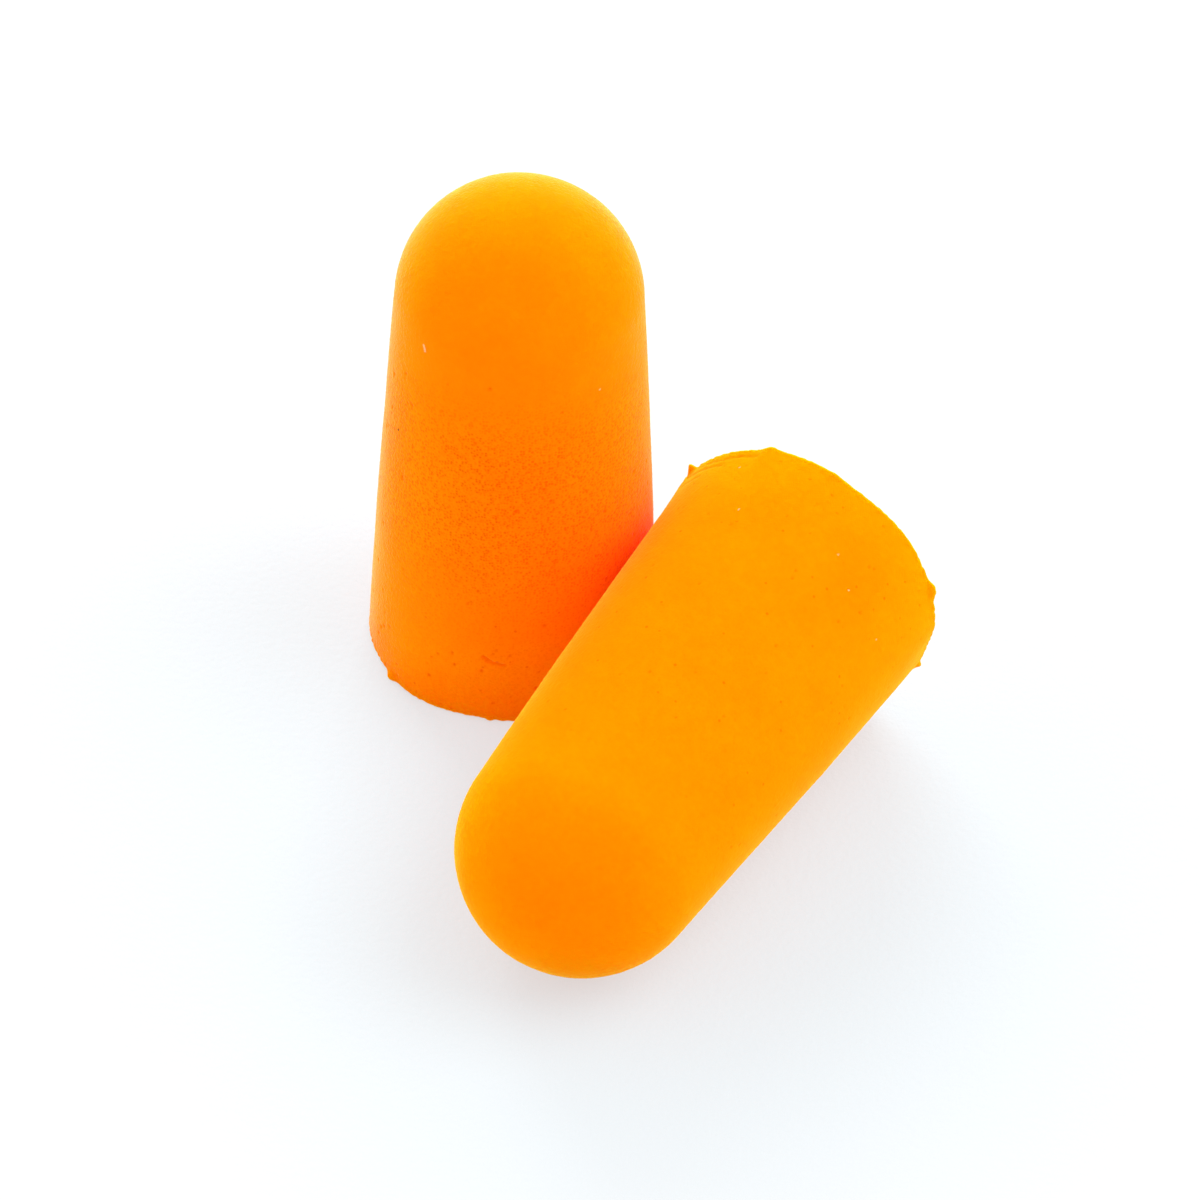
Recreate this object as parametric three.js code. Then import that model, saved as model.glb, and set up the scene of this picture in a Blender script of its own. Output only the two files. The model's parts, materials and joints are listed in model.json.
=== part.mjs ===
// A pair of tapered foam ear plugs: one stands on its flat end, and the other lies beside it.
// Units are millimetres, with +Z up. The group's origin is on the table, under the middle of the pair.

import * as THREE from 'three';

// One plug: a straight-sided cone that runs smoothly into a round nose.
const LENGTH = 23.7;                // from the flat end to the tip of the nose
const BASE_RADIUS = 6.35;           // at the flat end
const NOSE_RADIUS = 5.2;            // of the ball that the nose is part of

// How the second plug lies beside the first.
const LYING_HEADING = -119.3;       // degrees from +X, the way its nose points
const NEAREST_POINT = 3.85;         // along it from its flat end, where it passes the first plug
const PLUG_GAP = 0.15;              // between the two plugs there

// How finely the curved surface is divided.
const FACETS_AROUND = 64;
const NOSE_STEPS = 12;

const FOAM_COLOUR = 0xff8200;
const FOAM_ROUGHNESS = 0.95;

// The side leans in by the angle at which a line from the edge of the flat end touches the ball.
const NOSE_CENTRE = LENGTH - NOSE_RADIUS;
const TAPER = Math.acos( NOSE_RADIUS / Math.hypot( BASE_RADIUS, NOSE_CENTRE ) )
	- Math.atan( NOSE_CENTRE / BASE_RADIUS );


// The outline of half a plug, from the middle of the flat end to the tip, turned about its axis.
function plugGeometry() {

	const outline = new THREE.Path();
	outline.moveTo( 0, 0 );
	outline.lineTo( BASE_RADIUS, 0 );
	outline.absarc( 0, NOSE_CENTRE, NOSE_RADIUS, TAPER, Math.PI / 2 );

	const points = outline.getPoints( NOSE_STEPS / 2 );
	points.at( - 1 ).x = 0;

	const geometry = new THREE.LatheGeometry( points, FACETS_AROUND );
	geometry.rotateX( Math.PI / 2 );
	return geometry;

}


function makePlug( name ) {

	const material = new THREE.MeshStandardMaterial( {
		color: FOAM_COLOUR,
		roughness: FOAM_ROUGHNESS,
		metalness: 0
	} );
	const plug = new THREE.Mesh( plugGeometry(), material );
	plug.name = name;
	return plug;

}


// The radius of the straight side at a distance along the axis from the flat end.
function sideRadius( along ) {

	return BASE_RADIUS - along * Math.tan( TAPER );

}


// The first plug stands on its flat end.
const standingPlug = makePlug( 'standing_plug' );


// The second lies on its straight side, so its axis dips towards the nose by the taper.
const lyingPlug = makePlug( 'lying_plug' );
const heading = THREE.MathUtils.degToRad( LYING_HEADING );
lyingPlug.rotation.set( 0, Math.PI / 2 + TAPER, heading, 'ZYX' );

const axisHeight = BASE_RADIUS * Math.cos( TAPER );
const heightAtNearest = axisHeight - NEAREST_POINT * Math.sin( TAPER );
const spacing = sideRadius( heightAtNearest ) + PLUG_GAP + sideRadius( NEAREST_POINT );

const along = new THREE.Vector3( Math.cos( heading ), Math.sin( heading ), 0 );
const aside = new THREE.Vector3( - along.y, along.x, 0 );
lyingPlug.position
	.addScaledVector( aside, spacing )
	.addScaledVector( along, - NEAREST_POINT );
lyingPlug.position.z = axisHeight;


const pair = new THREE.Group();
pair.add( standingPlug, lyingPlug );

const extent = new THREE.Box3().setFromObject( pair, true );
const middle = extent.getCenter( new THREE.Vector3() );
pair.position.set( - middle.x, - middle.y, - extent.min.z );

export default pair;
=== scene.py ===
"""The looks of a pair of tapered foam ear plugs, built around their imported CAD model.

Each plug is one mesh of slow-recovery foam: a cone that runs into a round nose, with the uneven
skin of the mould, open pits, creases, and the ragged edge of its cut end.
"""

import json
import math
import random

import bpy
import numpy as np
from mathutils import Matrix, Vector, noise


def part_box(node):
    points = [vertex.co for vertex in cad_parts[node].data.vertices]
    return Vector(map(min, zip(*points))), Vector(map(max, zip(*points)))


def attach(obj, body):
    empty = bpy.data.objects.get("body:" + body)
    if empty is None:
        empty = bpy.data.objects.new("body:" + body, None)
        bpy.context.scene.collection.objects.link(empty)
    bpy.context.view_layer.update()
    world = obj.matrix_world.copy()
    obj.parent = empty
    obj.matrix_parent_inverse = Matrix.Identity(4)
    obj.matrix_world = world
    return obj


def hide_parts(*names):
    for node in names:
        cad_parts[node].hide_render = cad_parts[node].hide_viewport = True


MM = 0.001

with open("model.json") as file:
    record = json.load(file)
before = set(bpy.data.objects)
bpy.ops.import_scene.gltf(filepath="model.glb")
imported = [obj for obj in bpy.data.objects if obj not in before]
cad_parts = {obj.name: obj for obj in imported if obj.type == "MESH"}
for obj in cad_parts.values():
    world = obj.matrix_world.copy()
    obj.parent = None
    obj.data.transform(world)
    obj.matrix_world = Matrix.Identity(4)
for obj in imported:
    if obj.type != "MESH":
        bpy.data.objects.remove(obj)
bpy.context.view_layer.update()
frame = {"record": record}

# ---- One plug, in millimetres in its own frame: flat end at z 0, nose up ----

low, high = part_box("standing_plug")
LENGTH = (high.z - low.z) / MM
BASE_RADIUS = (high.x - low.x) / 2 / MM
NOSE_RADIUS = 5.2
NOSE_CENTRE = LENGTH - NOSE_RADIUS

# The side leans in by the angle at which a line from the edge of the flat end touches the nose's ball.
TOUCH = math.acos(NOSE_RADIUS / math.hypot(BASE_RADIUS, NOSE_CENTRE))
TAPER = TOUCH - math.atan(NOSE_CENTRE / BASE_RADIUS)
SIDE_TOP = NOSE_CENTRE + NOSE_RADIUS * math.sin(TAPER)
SIDE_SWELL = 0.06            # how far the side bows out of straight, half-way up
EDGE_ROUND = 0.08            # of the edge between the flat end and the side

# ---- The mesh's fineness ----

STEP = 0.085                 # between rings
EDGE_STEPS = 4               # round the edge of the flat end
FACETS = 576                 # round the widest rings, halved as they shrink
LEAST_FACETS = 9
NARROWEST_FACET = 0.55       # of STEP, before a ring's count is halved
LINE_STEPS = 12              # between the stops of a crease or a fleck

# The parts of the outline.
ON_CUT, ON_EDGE, ON_SKIN = 0, 1, 2

# ---- The skin ----

# (height of the unevenness, distance over which it repeats)
SKIN_WAVES = ((0.03, 5.0), (0.008, 1.1), (0.014, 0.17))
SEED_SHIFT = (31.7, 17.3, 5.9)
PIT_DEPTH = 0.4              # of a pit's radius
PIT_TOP = 19.0               # the highest pits
CREASE_SHADE = 0.7        # painted shade in a crease, as a share of a pit's
LINT_RADIUS = 0.1
DIRT_RADIUS = 0.12
RIM_REACH = 0.22             # how far from the edge a ragged bit of rim is felt
RIM_WAVES = ((0.025, 1.5), (0.05, 0.24))
RIM_CURL = 0.6               # how far the waves lift the rim, as a share of how far they push it out
NIB_HALF = 0.5               # the half width below which a bump is a nib
RIM_SPREAD = 2.0             # how far a broader bump is felt, as a share of its half width
RIM_BLUNTNESS = 2.6          # 2 is a bell, and more is a flatter top with steeper sides
DISH = 0.12                  # the hollow of the cut face at its middle
CUT_WAVES = ((0.05, 1.6), (0.03, 0.3))


def side_radius(height):
    """The radius of the side, which bows out a little from straight."""
    share = height / SIDE_TOP
    return BASE_RADIUS - height * math.tan(TAPER) + 4 * SIDE_SWELL * share * (1 - share)


def outline():
    """The plug's half outline as rows of radius, height, outward normal and part, from the middle
    of the flat end to the tip."""
    rows = []
    flat = BASE_RADIUS - EDGE_ROUND
    for i in range(round(flat / STEP)):
        rows.append((i * STEP, 0.0, 0.0, -1.0, ON_CUT))
    edge_turn = math.pi / 2 + TAPER
    for i in range(EDGE_STEPS + 1):
        a = -math.pi / 2 + edge_turn * i / EDGE_STEPS
        rows.append((flat + EDGE_ROUND * math.cos(a), EDGE_ROUND * (1 + math.sin(a)),
                     math.cos(a), math.sin(a), ON_EDGE))
    side_low = EDGE_ROUND * (1 + math.sin(TAPER))
    steps = round((SIDE_TOP - side_low) / STEP)
    for i in range(1, steps):
        height = side_low + (SIDE_TOP - side_low) * i / steps
        rows.append((side_radius(height), height, math.cos(TAPER), math.sin(TAPER), ON_SKIN))
    arc = math.pi / 2 - TAPER
    steps = round(arc * NOSE_RADIUS / STEP)
    for i in range(steps + 1):
        a = TAPER + arc * i / steps
        rows.append((NOSE_RADIUS * math.cos(a), NOSE_CENTRE + NOSE_RADIUS * math.sin(a),
                     math.cos(a), math.sin(a), ON_SKIN))
    return rows


def facets_at(radius):
    """How many facets a ring of this radius has: FACETS, halved until they are about STEP wide."""
    count = FACETS
    while count > LEAST_FACETS and 2 * math.pi * radius / count < NARROWEST_FACET * STEP:
        count //= 2
    return count


def ring_faces(a, b, a_count, b_count):
    """The faces between two rings that start at vertices a and b.

    Their counts are equal, or one is twice the other."""
    faces = []
    for j in range(min(a_count, b_count)):
        if a_count == b_count:
            k = (j + 1) % a_count
            faces.append((a + j, a + k, b + k, b + j))
        elif a_count > b_count:
            first, middle, last = 2 * j, 2 * j + 1, (2 * j + 2) % a_count
            k = (j + 1) % b_count
            faces.append((a + first, a + middle, b + j))
            faces.append((a + middle, a + last, b + k, b + j))
        else:
            first, middle, last = 2 * j, 2 * j + 1, (2 * j + 2) % b_count
            k = (j + 1) % a_count
            faces.append((a + j, b + middle, b + first))
            faces.append((a + j, a + k, b + last, b + middle))
    return faces


def plug_surface():
    """Points, outward normals, part of the outline and angle of every vertex, and the faces."""
    points, normals, parts, angles, faces = [], [], [], [], []
    before = None
    rows = outline()
    for index, (radius, height, out, up, part) in enumerate(rows):
        pole = index in (0, len(rows) - 1)
        count = 1 if pole else facets_at(radius)
        start = len(points)
        for j in range(count):
            a = 2 * math.pi * j / count
            points.append((radius * math.cos(a), radius * math.sin(a), height))
            normals.append((out * math.cos(a), out * math.sin(a), up))
            parts.append(part)
            angles.append(a)
        if before and before[1] == 1:
            faces += [(before[0], start + (j + 1) % count, start + j) for j in range(count)]
        elif before and pole:
            faces += [(before[0] + j, before[0] + (j + 1) % before[1], start) for j in range(before[1])]
        elif before:
            faces += ring_faces(before[0], start, before[1], count)
        before = (start, count)
    return np.array(points), np.array(normals), np.array(parts), np.array(angles), faces


def waves(points, sizes, seed):
    """Sum of smooth noise over the points, for each (height, repeat) in sizes."""
    shift = Vector([seed * step for step in SEED_SHIFT])
    total = np.zeros(len(points))
    for tall, repeat in sizes:
        total += tall * np.array([noise.noise(Vector(p) / repeat + shift) for p in points])
    return total


def hollow(points, centre, radius):
    """1 at centre, falling smoothly to 0 at radius from it."""
    far = ((points - centre) ** 2).sum(1) / radius ** 2
    return np.clip(1 - far, 0, 1) ** 2


def on_side(angle_deg, height):
    """The point of the plug's side at this angle and height."""
    a = math.radians(angle_deg)
    radius = side_radius(height)
    return np.array((radius * math.cos(a), radius * math.sin(a), height))


def along(points, stops, radius):
    """1 on the line through stops, falling to 0 at radius from it. A stop is an angle and a height."""
    total = np.zeros(len(points))
    places = [on_side(*stop) for stop in stops]
    for a, b in zip(places, places[1:] or places):
        for share in np.linspace(0, 1, LINE_STEPS):
            total = np.maximum(total, hollow(points, a + (b - a) * share, radius))
    return total


def plug_mesh(name, place, seed, pits, rim, creases, lint, dirt):
    """One plug at place, a matrix in metres.

    pits is how many there are, and their least and greatest radius. rim has rows of angle, reach
    outward, reach past the flat end, and half width, of each bump, dent and nib of flash. creases has
    rows of depth, width and the (angle, height) stops that one runs through. lint and dirt have rows of
    the stops of each pale and dark fleck."""
    points, normals, parts, angles, faces = plug_surface()
    rng = random.Random(seed)
    skin = parts == ON_SKIN
    face = parts == ON_CUT
    height = points[:, 2]
    radius = np.hypot(points[:, 0], points[:, 1])

    # The skin's unevenness, its pits and its creases, along the normal.
    lift = np.where(face, 0.0, 1.0) * waves(points, SKIN_WAVES, seed)
    # The darkness kept here is painted shade for the bottoms of the pits and creases.
    dark = np.zeros(len(points))
    count, least, greatest = pits
    for _ in range(count):
        size = rng.uniform(least, greatest)
        where = on_side(rng.uniform(0, 360), PIT_TOP * rng.random() ** 2)
        pit = hollow(points, where, size) * skin
        lift -= PIT_DEPTH * size * pit
        dark = np.maximum(dark, pit)
    for depth, width, stops in creases:
        crease = along(points, stops, width) * skin
        lift -= depth * crease
        dark = np.maximum(dark, CREASE_SHADE * crease)
    pale, dirty = np.zeros(len(points)), np.zeros(len(points))
    for stops in lint:
        pale = np.maximum(pale, along(points, stops, LINT_RADIUS))
    for stops in dirt:
        dirty = np.maximum(dirty, along(points, stops, DIRT_RADIUS))
    moved = points + normals * lift[:, None]

    # The cut face: a shallow dish with the cut's own unevenness.
    cut = DISH * (1 - (radius / BASE_RADIUS) ** 2) + waves(points, CUT_WAVES, seed + 3)
    moved[:, 2] += face * np.clip(cut, 0, None)

    # The ragged rim: waves all round it, broad bumps and dents, and nibs of flash that stand out of it.
    ring = np.stack([np.cos(angles), np.sin(angles), np.zeros(len(angles))], 1)
    from_edge = np.where(face, BASE_RADIUS - radius, height)
    near = np.exp(-(from_edge / RIM_REACH) ** 2) * (radius > BASE_RADIUS / 2)
    ragged = waves(ring * BASE_RADIUS, RIM_WAVES, seed + 7)
    moved += ring * (near * ragged)[:, None]
    moved[:, 2] += near * np.abs(ragged) * RIM_CURL
    for angle, outward, past, half in rim:
        turn = (np.degrees(angles) - angle + 180) % 360 - 180
        across = np.radians(turn) * BASE_RADIUS / half
        reach = RIM_REACH if half < NIB_HALF else RIM_SPREAD * half
        bump = np.exp(-np.abs(across) ** RIM_BLUNTNESS - (from_edge / reach) ** 2)
        moved += ring * (outward * bump)[:, None]
        moved[:, 2] -= past * bump

    # Nothing goes through the table.
    placed = np.array([place @ Vector(p * MM) for p in moved])
    placed[:, 2] = np.maximum(placed[:, 2], 0.0)

    mesh = bpy.data.meshes.new(name)
    mesh.from_pydata([tuple(p) for p in placed], [], faces)
    mesh.validate()
    mesh.shade_smooth()
    shares = {"painted_pit_shade": dark, "pale": pale, "dirty": dirty, "height": height / LENGTH}
    for label, values in shares.items():
        layer = mesh.attributes.new(label, "FLOAT", "POINT")
        layer.data.foreach_set("value", values.astype(np.float32))
    cut_faces = np.array([all(face[v] for v in f) for f in faces], dtype=np.int32)
    mesh.polygons.foreach_set("material_index", cut_faces)
    piece = bpy.data.objects.new(name, mesh)
    bpy.context.scene.collection.objects.link(piece)
    return piece


def plug_place(mount_name, under):
    """The matrix from a plug's own frame to the row frame, from the mount on its flat end.

    The plug's angle 0 is on the side that faces under."""
    mount = next(m for m in frame["record"]["mounts"] if m["name"] == mount_name)
    nose = -Vector(mount["axis"]).normalized()
    across = (under - nose * under.dot(nose)).normalized()
    turned = Matrix((across, nose.cross(across), nose)).transposed()
    return Matrix.Translation(mount["pos_m"]) @ turned.to_4x4()


# ---- Materials ----


class Nodes:
    """A material's node tree, with short ways to add nodes and join them."""

    def __init__(self, name):
        self.material = bpy.data.materials.new(name)
        self.material.use_nodes = True
        self.tree = self.material.node_tree
        self.shader = self.tree.nodes["Principled BSDF"]

    def add(self, kind, settings=(), **inputs):
        node = self.tree.nodes.new(kind)
        for key, value in dict(settings).items():
            setattr(node, key, value)
        for key, value in inputs.items():
            self.put(node.inputs[key.replace("_", " ")], value)
        return node

    def put(self, socket, value):
        if isinstance(value, bpy.types.NodeSocket):
            self.tree.links.new(value, socket)
        else:
            socket.default_value = value

    def math(self, operation, a, b=0.0):
        node = self.tree.nodes.new("ShaderNodeMath")
        node.operation = operation
        self.put(node.inputs[0], a)
        self.put(node.inputs[1], b)
        return node.outputs[0]

    def band(self, value, low, high, to_low=0.0, to_high=1.0):
        """value mapped smoothly from low..high to to_low..to_high."""
        node = self.tree.nodes.new("ShaderNodeMapRange")
        node.interpolation_type = "SMOOTHSTEP"
        for socket, v in zip(node.inputs, (value, low, high, to_low, to_high)):
            self.put(socket, v)
        return node.outputs[0]

    def mix(self, share, a, b):
        node = self.tree.nodes.new("ShaderNodeMix")
        node.data_type = "RGBA"
        self.put(node.inputs["Factor"], share)
        self.put(node.inputs[6], a)
        self.put(node.inputs[7], b)
        return node.outputs[2]

    def noise(self, repeat_mm, detail=2.0):
        where = self.add("ShaderNodeTexCoord").outputs["Object"]
        scale = 1 / (repeat_mm * MM)
        return self.add("ShaderNodeTexNoise", Vector=where, Scale=scale, Detail=detail).outputs["Fac"]

    def cells(self, size_mm):
        where = self.add("ShaderNodeTexCoord").outputs["Object"]
        return self.add("ShaderNodeTexVoronoi", Vector=where, Scale=1 / (size_mm * MM))

    def each_cell(self, cells):
        """A number from 0 to 1 that is the same all over a cell and differs between cells."""
        return self.add("ShaderNodeSeparateColor", Color=cells.outputs["Color"]).outputs[0]

    def attribute(self, name):
        return self.add("ShaderNodeAttribute", {"attribute_name": name}).outputs["Fac"]


ORANGE = (1.0, 0.228, 0.0, 1)
DEEP_ORANGE = (1.0, 0.21, 0.0, 1)
# Painted light for the lying plug's rim, as if lit through its cut end.
PAINTED_RIM_LIGHT = (1.0, 0.248, 0.0, 1)
# Painted shade for the bottom of the standing plug's rim, where it meets the table.
PAINTED_RIM_SHADE = (1.0, 0.17, 0.0, 1)
# Painted shade in the fine pores.
PORE_SHADE = (0.84, 0.118, 0.0, 1)
# Painted shade at the bottoms of pits, creases and pinholes.
PIT_SHADE = (0.78, 0.07, 0.0, 1)
LINT = (1.0, 0.4, 0.17, 1)
DIRT = (0.03, 0.008, 0.003, 1)

ROUGHNESS = (0.82, 1.0)
MOST_NOISE = (0.3, 0.7)      # the values that most of a noise lies between
FLECK_EDGE = (0.3, 0.6)      # of the "pale" and "dirty" shares
PIT_SHADE_SHARE = 0.55              # how much painted shade shows at the bottom of a pit

# Sizes in millimetres.
COLOUR_PATCH = 4.0
ROUGHNESS_PATCH = 0.3
CUT_PATCH = 1.0
GRAIN = 0.09
GRAIN_DEPTH = 0.03
PINHOLE_CELL = 0.62

# Heights up the plug, as shares of its length.
PAINTED_RIM_BAND = (0.12, 0.0)       # where the rim's painted shading fades in: painted shade on the standing plug, painted light on the lying plug
PORES_END = (0.78, 0.58)     # where the pores and pinholes fade in, from the top
PORES_FULL = (0.18, 0.42)    # where the pores grow to their strongest, from the bottom

LEAST_PORE = 0.2             # the faintest pore, against the strongest
LOW_PORES = 0.25             # how strong the pores are at the bottom of the plug
PORE_EDGE = (0.2, 0.75)      # of a cell's size
PORE_DEPTH = 0.3             # of a cell's size
PINHOLE_EDGE = (0.05, 0.15)  # of a cell's size
# How much painted shade shows in a pinhole.
PINHOLE_SHADE = 0.5
NO_PINHOLE = 0.6             # the share of cells without one
CUT_PATCHES = (0.35, 0.65)   # of the noise that makes patches of pores on a cut face
LEAST_PATCH = 0.35           # how strong the pores are between the patches


def foam(name, pore_size, pore_share, bump, sheen_tint, rim_painted_shading, is_cut=False):
    """Foam: orange that varies a little, painted shade in its fine pores, pinholes, pits and creases,
    painted shading at the rim, and flecks of lint and dirt.

    The pores are mostly on the lower middle of the plug, or in patches if the foam is cut."""
    n = Nodes(name)
    height = n.attribute("height")
    colour = n.mix(n.band(n.noise(COLOUR_PATCH), *MOST_NOISE), ORANGE, DEEP_ORANGE)
    # Painted shading along the rim: painted shade low on the standing plug, painted light at the lying
    # plug's cut end.
    colour = n.mix(n.band(height, *PAINTED_RIM_BAND), colour, rim_painted_shading)

    # Fine pores with painted shade in them, some deeper than others.
    pores = n.cells(pore_size)
    lower = n.band(height, *PORES_END)
    if is_cut:
        place = n.band(n.noise(CUT_PATCH), *CUT_PATCHES, LEAST_PATCH, 1.0)
    else:
        place = n.math("MULTIPLY", lower, n.band(height, *PORES_FULL, LOW_PORES, 1.0))
    each = n.band(n.each_cell(pores), 0.0, 1.0, LEAST_PORE, 1.0)
    shown = n.math("MULTIPLY", n.math("MULTIPLY", each, place), pore_share)
    pore = n.math("MULTIPLY", n.band(pores.outputs["Distance"], *PORE_EDGE, 1.0, 0.0), shown)
    colour = n.mix(pore, colour, PORE_SHADE)

    # Painted shade of pinholes here and there.
    pinholes = n.cells(PINHOLE_CELL)
    chosen = n.math("MULTIPLY", n.math("GREATER_THAN", n.each_cell(pinholes), NO_PINHOLE), lower)
    pinhole = n.band(pinholes.outputs["Distance"], *PINHOLE_EDGE, PINHOLE_SHADE, 0.0)
    colour = n.mix(n.math("MULTIPLY", pinhole, chosen), colour, PIT_SHADE)

    # Painted shade in the pits and creases that are in the mesh, and the flecks of lint and dirt.
    colour = n.mix(n.math("MULTIPLY", n.attribute("painted_pit_shade"), PIT_SHADE_SHARE), colour, PIT_SHADE)
    colour = n.mix(n.band(n.attribute("pale"), *FLECK_EDGE), colour, LINT)
    colour = n.mix(n.band(n.attribute("dirty"), *FLECK_EDGE), colour, DIRT)

    grain = n.add("ShaderNodeBump", Strength=bump, Distance=GRAIN_DEPTH * MM, Height=n.noise(GRAIN, 3.0))
    cell_bump = n.add("ShaderNodeBump", Strength=bump, Distance=PORE_DEPTH * pore_size * MM,
                      Height=pores.outputs["Distance"], Normal=grain.outputs[0])

    # Light passes a little way through the foam, red the furthest, and its fuzz catches raking light.
    s = n.shader.inputs
    n.put(s["Base Color"], colour)
    n.put(s["Roughness"], n.band(n.noise(ROUGHNESS_PATCH), *MOST_NOISE, *ROUGHNESS))
    n.put(s["Normal"], cell_bump.outputs[0])
    s["IOR"].default_value = 1.4
    s["Specular IOR Level"].default_value = 0.0
    s["Subsurface Weight"].default_value = 0.8
    s["Subsurface Radius"].default_value = (3.0, 0.5, 0.08)
    s["Subsurface Scale"].default_value = 1.0 * MM
    s["Sheen Weight"].default_value = 0.42
    s["Sheen Roughness"].default_value = 0.26
    s["Sheen Tint"].default_value = sheen_tint
    return n.material


CARD = (0.264, 0.262, 0.264, 1)
CARD_NEAR = (0.222, 0.262, 0.282, 1)
NEAR, FAR = 12.0, 40.0       # where the card's colour starts and stops to change, from the middle
CARD_GRAIN = 0.35
CARD_GRAIN_DEPTH = 0.05
GLOW_COLOUR = (0.955, 0.97, 0.98, 1)
GLOW = 0.56


def paper():
    """The table: white card with a faint grain on a light table, which keeps the shadows pale.

    Near the plugs the card is a little bluer, against the orange light that they throw on it."""
    n = Nodes("paper")
    grain = n.add("ShaderNodeBump", Strength=0.5, Distance=CARD_GRAIN_DEPTH * MM,
                  Height=n.noise(CARD_GRAIN, 3.0))
    where = n.add("ShaderNodeTexCoord").outputs["Object"]
    away = n.add("ShaderNodeVectorMath", {"operation": "LENGTH"}, Vector=where).outputs["Value"]
    s = n.shader.inputs
    n.put(s["Base Color"], n.mix(n.band(away, NEAR * MM, FAR * MM), CARD_NEAR, CARD))
    n.put(s["Normal"], grain.outputs[0])
    s["Roughness"].default_value = 0.9
    s["Specular IOR Level"].default_value = 0.0
    s["Emission Color"].default_value = GLOW_COLOUR
    s["Emission Strength"].default_value = GLOW
    return n.material


# ---- The plugs ----

# The rims: angle round the plug in degrees, outward, past the flat end, half width.
STANDING_RIM = (
    (307, 0.20, 0.0, 0.3), (320, 0.13, 0.0, 1.5), (348, -0.07, 0.0, 0.4), (353, 0.05, 0.0, 0.15),
    (150, 0.25, 0.0, 0.25), (75, 0.10, 0.0, 1.2), (232, 0.16, 0.0, 0.4),
)
LYING_RIM = (
    (241, 0.30, 0.12, 0.24), (250, 0.08, 0.0, 0.8), (196, 0.15, 0.04, 0.5), (184, 0.18, 0.0, 1.8),
    (168, 0.06, 0.0, 0.3), (133, 0.10, 0.0, 1.7), (107.5, 0.22, 0.06, 0.38), (76, -0.10, 0.0, 0.9),
    (63, 0.20, 0.06, 0.2), (20, 0.15, 0.05, 0.4), (290, 0.20, 0.05, 0.3),
)

# The creases: depth, width, and the (angle, height) stops that each runs through.
STANDING_CREASES = ((0.1, 0.12, ((350, 3.6), (354, 3.3), (359, 3.2))),)
LYING_CREASES = (
    (0.03, 0.12, ((227, 0.45), (218, 0.55), (208, 0.45), (200, 0.5))),
    (0.045, 0.12, ((241, 0.55), (233, 0.8), (225, 0.85), (216, 0.95))),
    (0.035, 0.12, ((240, 1.15), (233, 1.3), (226, 1.3))),
)

# The stops of each fleck of lint and dirt.
STANDING_LINT = (((313.2, 18.75), (314.5, 18.5)), ((41, 17.1),))
LYING_LINT = (((192, 3.7),), ((149, 3.2),), ((113, 4.2),), ((205, 1.2),), ((137, 4.1),))
STANDING_DIRT = (((298.5, 13.3),),)
LYING_DIRT = ()

# The pits: how many, and their least and greatest radius.
STANDING_PITS = (260, 0.07, 0.15)
LYING_PITS = (160, 0.06, 0.11)

# Where light rakes across the foam, the standing plug looks powdery and pale, and the rest orange.
POWDERY = (1.0, 0.85, 0.68, 1)
CLEAN = (1.0, 0.82, 0.14, 1)
SKIN_PORE = 0.12
CUT_PORE = 0.19

# The standing plug's rim gets painted shade near the table and the lying plug's rim gets painted light;
# the cut face's rim stays plain orange.
standing_skin = foam("standing_skin", pore_size=SKIN_PORE, pore_share=1.0, bump=0.5,
                     sheen_tint=POWDERY, rim_painted_shading=PAINTED_RIM_SHADE)
lying_skin = foam("lying_skin", pore_size=SKIN_PORE, pore_share=0.12, bump=0.35,
                  sheen_tint=CLEAN, rim_painted_shading=PAINTED_RIM_LIGHT)
cut = foam("foam_cut", pore_size=CUT_PORE, pore_share=0.9, bump=1.0,
           sheen_tint=CLEAN, rim_painted_shading=ORANGE, is_cut=True)

VIEWER = Vector((0, -1, 0))
DOWN = Vector((0, 0, -1))
PLUGS = (
    ("standing_plug", "standing", VIEWER, standing_skin, 1,
     STANDING_PITS, STANDING_RIM, STANDING_CREASES, STANDING_LINT, STANDING_DIRT),
    ("lying_plug", "lying", DOWN, lying_skin, 2,
     LYING_PITS, LYING_RIM, LYING_CREASES, LYING_LINT, LYING_DIRT),
)
for node, body, under, skin, seed, *marks in PLUGS:
    place = plug_place(node + "_base", under)
    plug = plug_mesh(node + "_foam", place, seed, *marks)
    plug.data.materials.append(skin)
    plug.data.materials.append(cut)
    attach(plug, body)
    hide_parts(node)

# ---- The table, the light and the camera, in metres ----

TABLE_HALF = 0.4
TABLE_GAP = 0.00002          # below the plugs, so that no two faces lie in one plane
BOX_DISTANCE = 0.4
BOX_SIZE = 0.3

# Softboxes: name, azimuth, elevation, watts. Azimuth 0 is on the viewer's side and 90 on the right.
SOFTBOXES = (
    ("back", -168, 22, 2.1),
    ("left_back", -135, 40, 0.2),
    ("left", -90, 20, 0.45),
    ("right", 90, 20, 0.5),
    ("right_high", 90, 55, 0.8),
)

LENS = 135.0
SENSOR = 36.0
CAMERA_DISTANCE = 0.2006
CAMERA_ELEVATION = math.radians(43.2)
CAMERA_ROLL = math.radians(2.27)
AIM_RIGHT = 0.00383          # of the standing plug's axis
AIM_BACK = 0.00159


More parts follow.
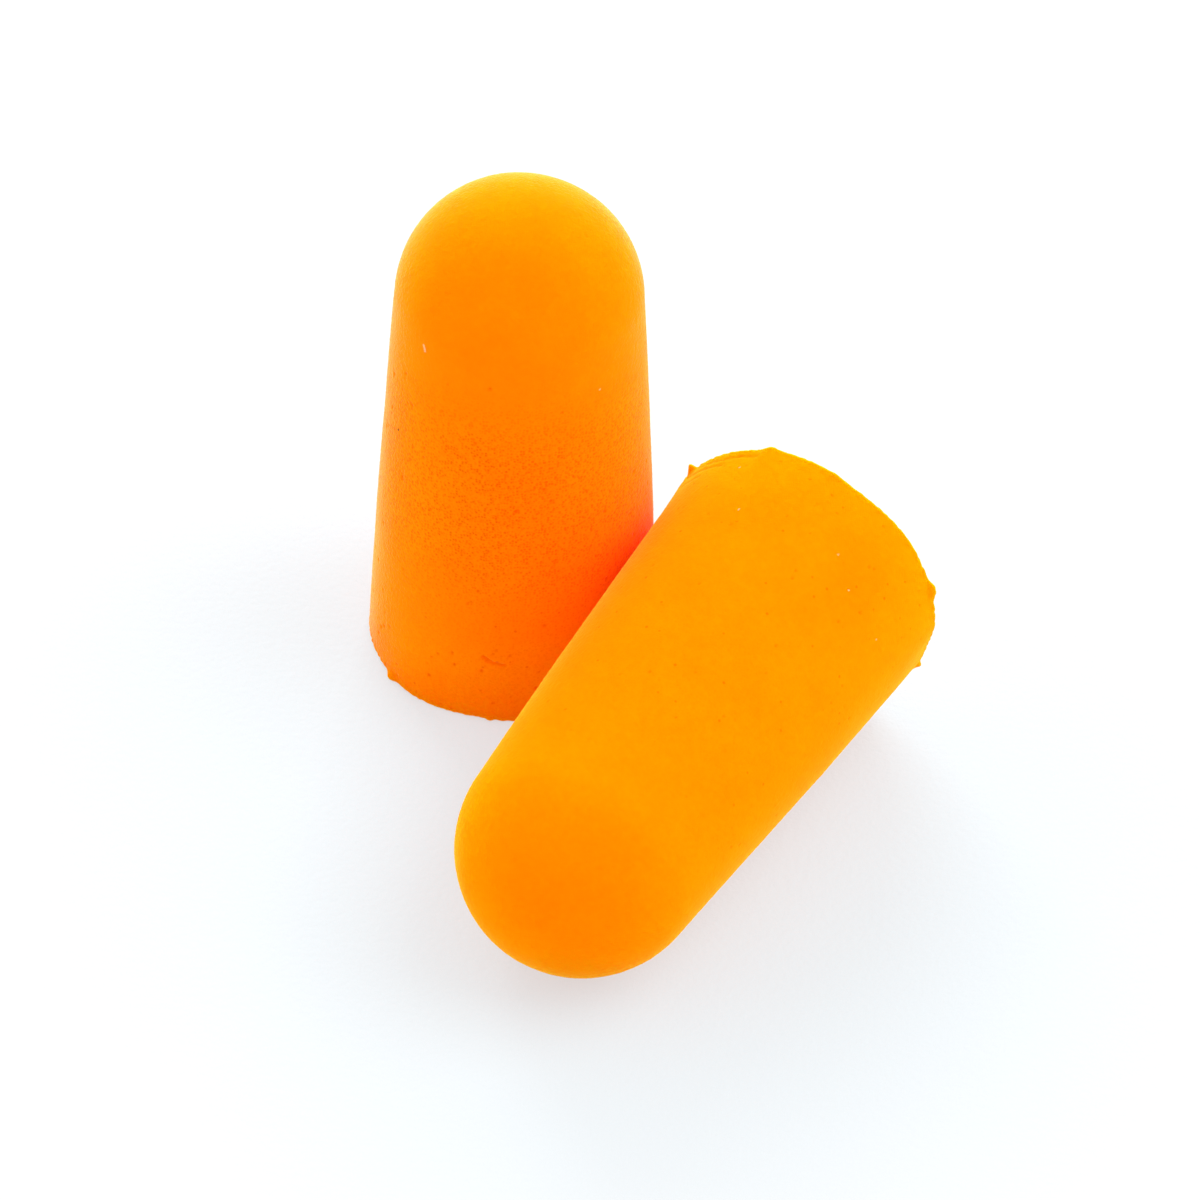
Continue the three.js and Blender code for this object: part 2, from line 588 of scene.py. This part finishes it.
def table():
    half = TABLE_HALF
    mesh = bpy.data.meshes.new("table")
    corners = [(-half, -half, 0), (half, -half, 0), (half, half, 0), (-half, half, 0)]
    mesh.from_pydata(corners, [], [(0, 1, 2, 3)])
    mesh.materials.append(paper())
    top = bpy.data.objects.new("table", mesh)
    top.location.z = -TABLE_GAP
    bpy.context.scene.collection.objects.link(top)


def softbox(name, azimuth, elevation, watts):
    """A square softbox that faces the plugs."""
    lamp = bpy.data.lights.new(name, "AREA")
    lamp.size = BOX_SIZE
    lamp.energy = watts
    box = bpy.data.objects.new(name, lamp)
    a, e = math.radians(azimuth), math.radians(elevation)
    back = Vector((math.sin(a) * math.cos(e), -math.cos(a) * math.cos(e), math.sin(e)))
    box.location = back * BOX_DISTANCE
    box.rotation_mode = "QUATERNION"
    box.rotation_quaternion = back.to_track_quat("Z", "Y")
    bpy.context.scene.collection.objects.link(box)


def surround():
    """Plain white all round."""
    world = bpy.data.worlds.new("surround")
    world.use_nodes = True
    background = world.node_tree.nodes["Background"]
    background.inputs["Color"].default_value = (1, 1, 1, 1)
    background.inputs["Strength"].default_value = 1.0
    bpy.context.scene.world = world


def camera():
    """A long lens that looks down at the pair, with its horizon a little off level."""
    aim = Vector(((low.x + high.x) / 2 + AIM_RIGHT, (low.y + high.y) / 2 + AIM_BACK, 0))
    data = bpy.data.cameras.new("camera")
    data.lens = LENS
    data.sensor_width = SENSOR
    data.clip_start = 0.01
    data.clip_end = 10
    eye = bpy.data.objects.new("camera", data)
    eye.matrix_world = (
        Matrix.Translation(aim)
        @ Matrix.Rotation(math.pi / 2 - CAMERA_ELEVATION, 4, "X")
        @ Matrix.Rotation(CAMERA_ROLL, 4, "Z")
        @ Matrix.Translation((0, 0, CAMERA_DISTANCE))
    )
    bpy.context.scene.collection.objects.link(eye)
    bpy.context.scene.camera = eye


table()
surround()
for name, azimuth, elevation, watts in SOFTBOXES:
    softbox(name, azimuth, elevation, watts)
camera()

bpy.context.scene.view_settings.view_transform = "Standard"
# Light goes back and forth many times where the plugs nearly touch, which makes that gap glow red.
bpy.context.scene.cycles.diffuse_bounces = 12

bpy.context.view_layer.update()
